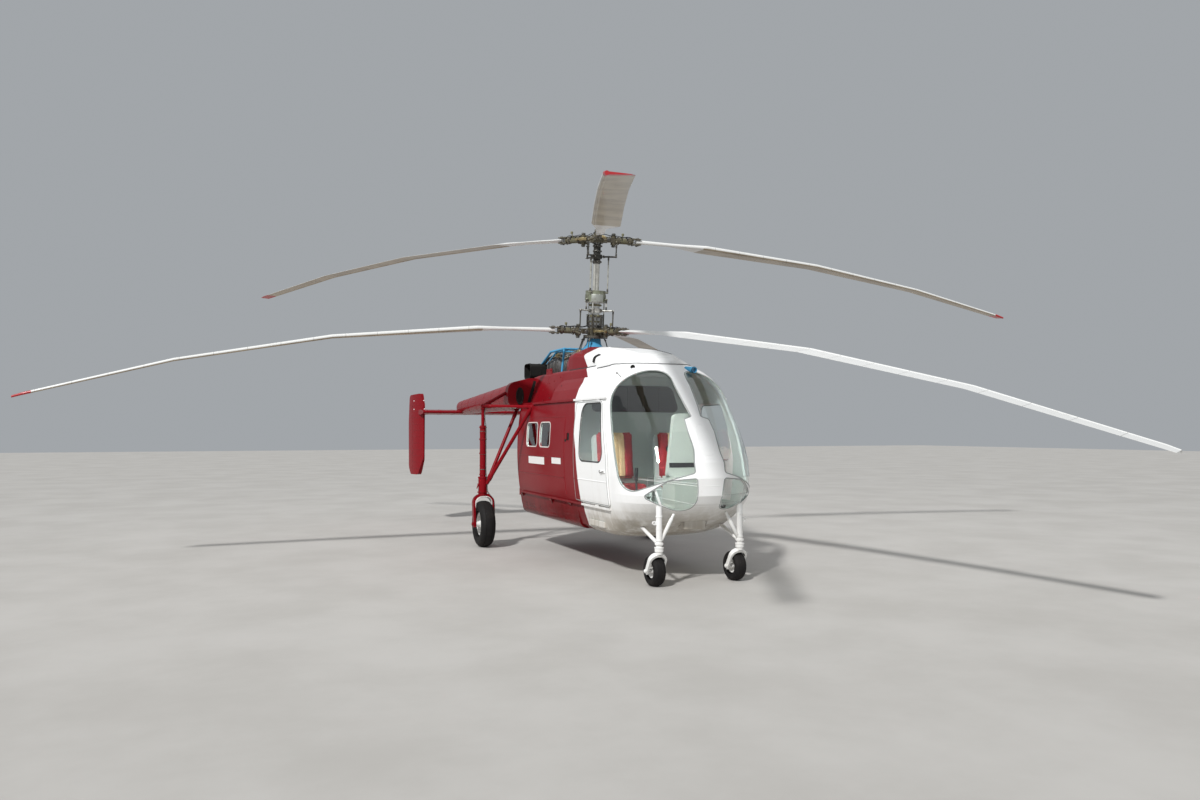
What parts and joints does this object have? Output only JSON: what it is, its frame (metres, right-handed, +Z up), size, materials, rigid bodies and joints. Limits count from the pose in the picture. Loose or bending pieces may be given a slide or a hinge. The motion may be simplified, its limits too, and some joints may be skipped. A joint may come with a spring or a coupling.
{
  "type": "coaxial-rotor utility helicopter",
  "caption": "Light utility helicopter with coaxial contra-rotating rotors, twin booms and tail fins, glazed cab, detachable passenger pod and four-leg wheeled gear.",
  "frame": {"origin": "on the ground, under the middle of the overall box with the rotors as parked", "axes": "+Z up, -Y towards the nose, +X to port"},
  "size_m": [12.9518, 11.399, 4.0714],
  "materials": {
    "white_paint": "gloss",
    "clear_glass": "clear",
    "grey_lining": "satin",
    "seat_leather": "matt",
    "black_plastic": "matt",
    "red_paint": "gloss",
    "blue_paint": "satin",
    "hub_steel": "oiled",
    "shaft_steel": "satin",
    "dark_metal": "matt",
    "blade_skin": "satin",
    "black_tyre": "matt",
    "rim_paint": "satin"
  },
  "bodies": {
    "airframe": {"cab_shell": "white_paint", "windscreens": "clear_glass", "chin_windows": "clear_glass", "cab_floor": "grey_lining", "seat_frames": "grey_lining", "seat_cushions": "seat_leather", "console": "grey_lining", "controls": "black_plastic", "upper_deck": "red_paint", "roof_fairing": "white_paint", "roof_lamp": "blue_paint", "pod_shell": "red_paint", "pod_windows": "clear_glass", "door_rails": "red_paint", "gearbox": "blue_paint", "lower_swashplate": "hub_steel", "engine": "dark_metal", "exhaust": "dark_metal", "engine_frame": "blue_paint", "tailplane": "red_paint", "boom_left": "red_paint", "fin_left": "red_paint", "main_gear_left": "red_paint", "nose_leg_left": "white_paint", "boom_right": "red_paint", "fin_right": "red_paint", "main_gear_right": "red_paint", "nose_leg_right": "white_paint"},
    "door_left": {"door_left": "white_paint", "door_window_left": "clear_glass"},
    "rear_door_left": {"rear_door_left": "red_paint"},
    "rudder_left": {"rudder_left": "red_paint"},
    "main_wheel_left": {"main_tyre_left": "black_tyre", "main_rim_left": "rim_paint"},
    "nose_fork_left": {"nose_fork_left": "white_paint"},
    "nose_wheel_left": {"nose_tyre_left": "black_tyre", "nose_rim_left": "rim_paint"},
    "door_right": {"door_right": "white_paint", "door_window_right": "clear_glass"},
    "rear_door_right": {"rear_door_right": "red_paint"},
    "rudder_right": {"rudder_right": "red_paint"},
    "main_wheel_right": {"main_tyre_right": "black_tyre", "main_rim_right": "rim_paint"},
    "nose_fork_right": {"nose_fork_right": "white_paint"},
    "nose_wheel_right": {"nose_tyre_right": "black_tyre", "nose_rim_right": "rim_paint"},
    "upper_rotor": {"upper_hub": "hub_steel", "upper_shaft": "shaft_steel", "upper_controls": "hub_steel", "upper_blade_1": "blade_skin", "upper_blade_2": "blade_skin", "upper_blade_3": "blade_skin"},
    "lower_rotor": {"lower_hub": "hub_steel", "lower_shaft": "shaft_steel", "lower_controls": "hub_steel", "lower_blade_1": "blade_skin", "lower_blade_2": "blade_skin", "lower_blade_3": "blade_skin"}
  },
  "joints": [
    {"name": "upper_rotor_spin", "type": "hinge", "parent": "airframe", "child": "upper_rotor", "pos_m": [0, 0.28, 3.936], "axis": [0, -0.0941, 0.9956], "continuous": true},
    {"name": "lower_rotor_spin", "type": "hinge", "parent": "airframe", "child": "lower_rotor", "pos_m": [0, 0.39011, 2.77119], "axis": [0, -0.0941, 0.9956], "continuous": true},
    {"name": "main_wheel_left_spin", "type": "hinge", "parent": "airframe", "child": "main_wheel_left", "pos_m": [1.21, 1.23, 0.2975], "axis": [1, 0, 0], "continuous": true},
    {"name": "nose_caster_left", "type": "hinge", "parent": "airframe", "child": "nose_fork_left", "pos_m": [0.45, -2.35, 0.345], "axis": [0, 0, 1], "continuous": true},
    {"name": "nose_wheel_left_spin", "type": "hinge", "parent": "nose_fork_left", "child": "nose_wheel_left", "pos_m": [0.45, -2.25, 0.15], "axis": [1, 0, 0], "continuous": true},
    {"name": "door_left_slide", "type": "slide", "parent": "airframe", "child": "door_left", "axis": [0, 1, 0], "range_m": [0, 0.9]},
    {"name": "rear_door_left_hinge", "type": "hinge", "parent": "airframe", "child": "rear_door_left", "pos_m": [0.7, 1.2675, 1.13], "axis": [0, 0, -1], "range_deg": [0, 90]},
    {"name": "main_wheel_right_spin", "type": "hinge", "parent": "airframe", "child": "main_wheel_right", "pos_m": [-1.21, 1.23, 0.2975], "axis": [1, 0, 0], "continuous": true},
    {"name": "nose_caster_right", "type": "hinge", "parent": "airframe", "child": "nose_fork_right", "pos_m": [-0.45, -2.35, 0.345], "axis": [0, 0, 1], "continuous": true},
    {"name": "nose_wheel_right_spin", "type": "hinge", "parent": "nose_fork_right", "child": "nose_wheel_right", "pos_m": [-0.45, -2.25, 0.15], "axis": [1, 0, 0], "continuous": true},
    {"name": "door_right_slide", "type": "slide", "parent": "airframe", "child": "door_right", "axis": [0, 1, 0], "range_m": [0, 0.9]},
    {"name": "rear_door_right_hinge", "type": "hinge", "parent": "airframe", "child": "rear_door_right", "pos_m": [-0.7, 1.2675, 1.13], "axis": [0, 0, 1], "range_deg": [0, 90]},
    {"name": "rudder_left_hinge", "type": "hinge", "parent": "airframe", "child": "rudder_left", "pos_m": [1.42025, 4.88769, 1.45], "axis": [0, 0, 1], "range_deg": [-20, 20]},
    {"name": "rudder_right_hinge", "type": "hinge", "parent": "airframe", "child": "rudder_right", "pos_m": [-1.42025, 4.88769, 1.45], "axis": [0, 0, 1], "range_deg": [-20, 20]}
  ],
  "couplings": [
    {"joint": "lower_rotor_spin", "follows": "upper_rotor_spin", "ratio": -1},
    {"joint": "rudder_right_hinge", "follows": "rudder_left_hinge", "ratio": 1}
  ]
}
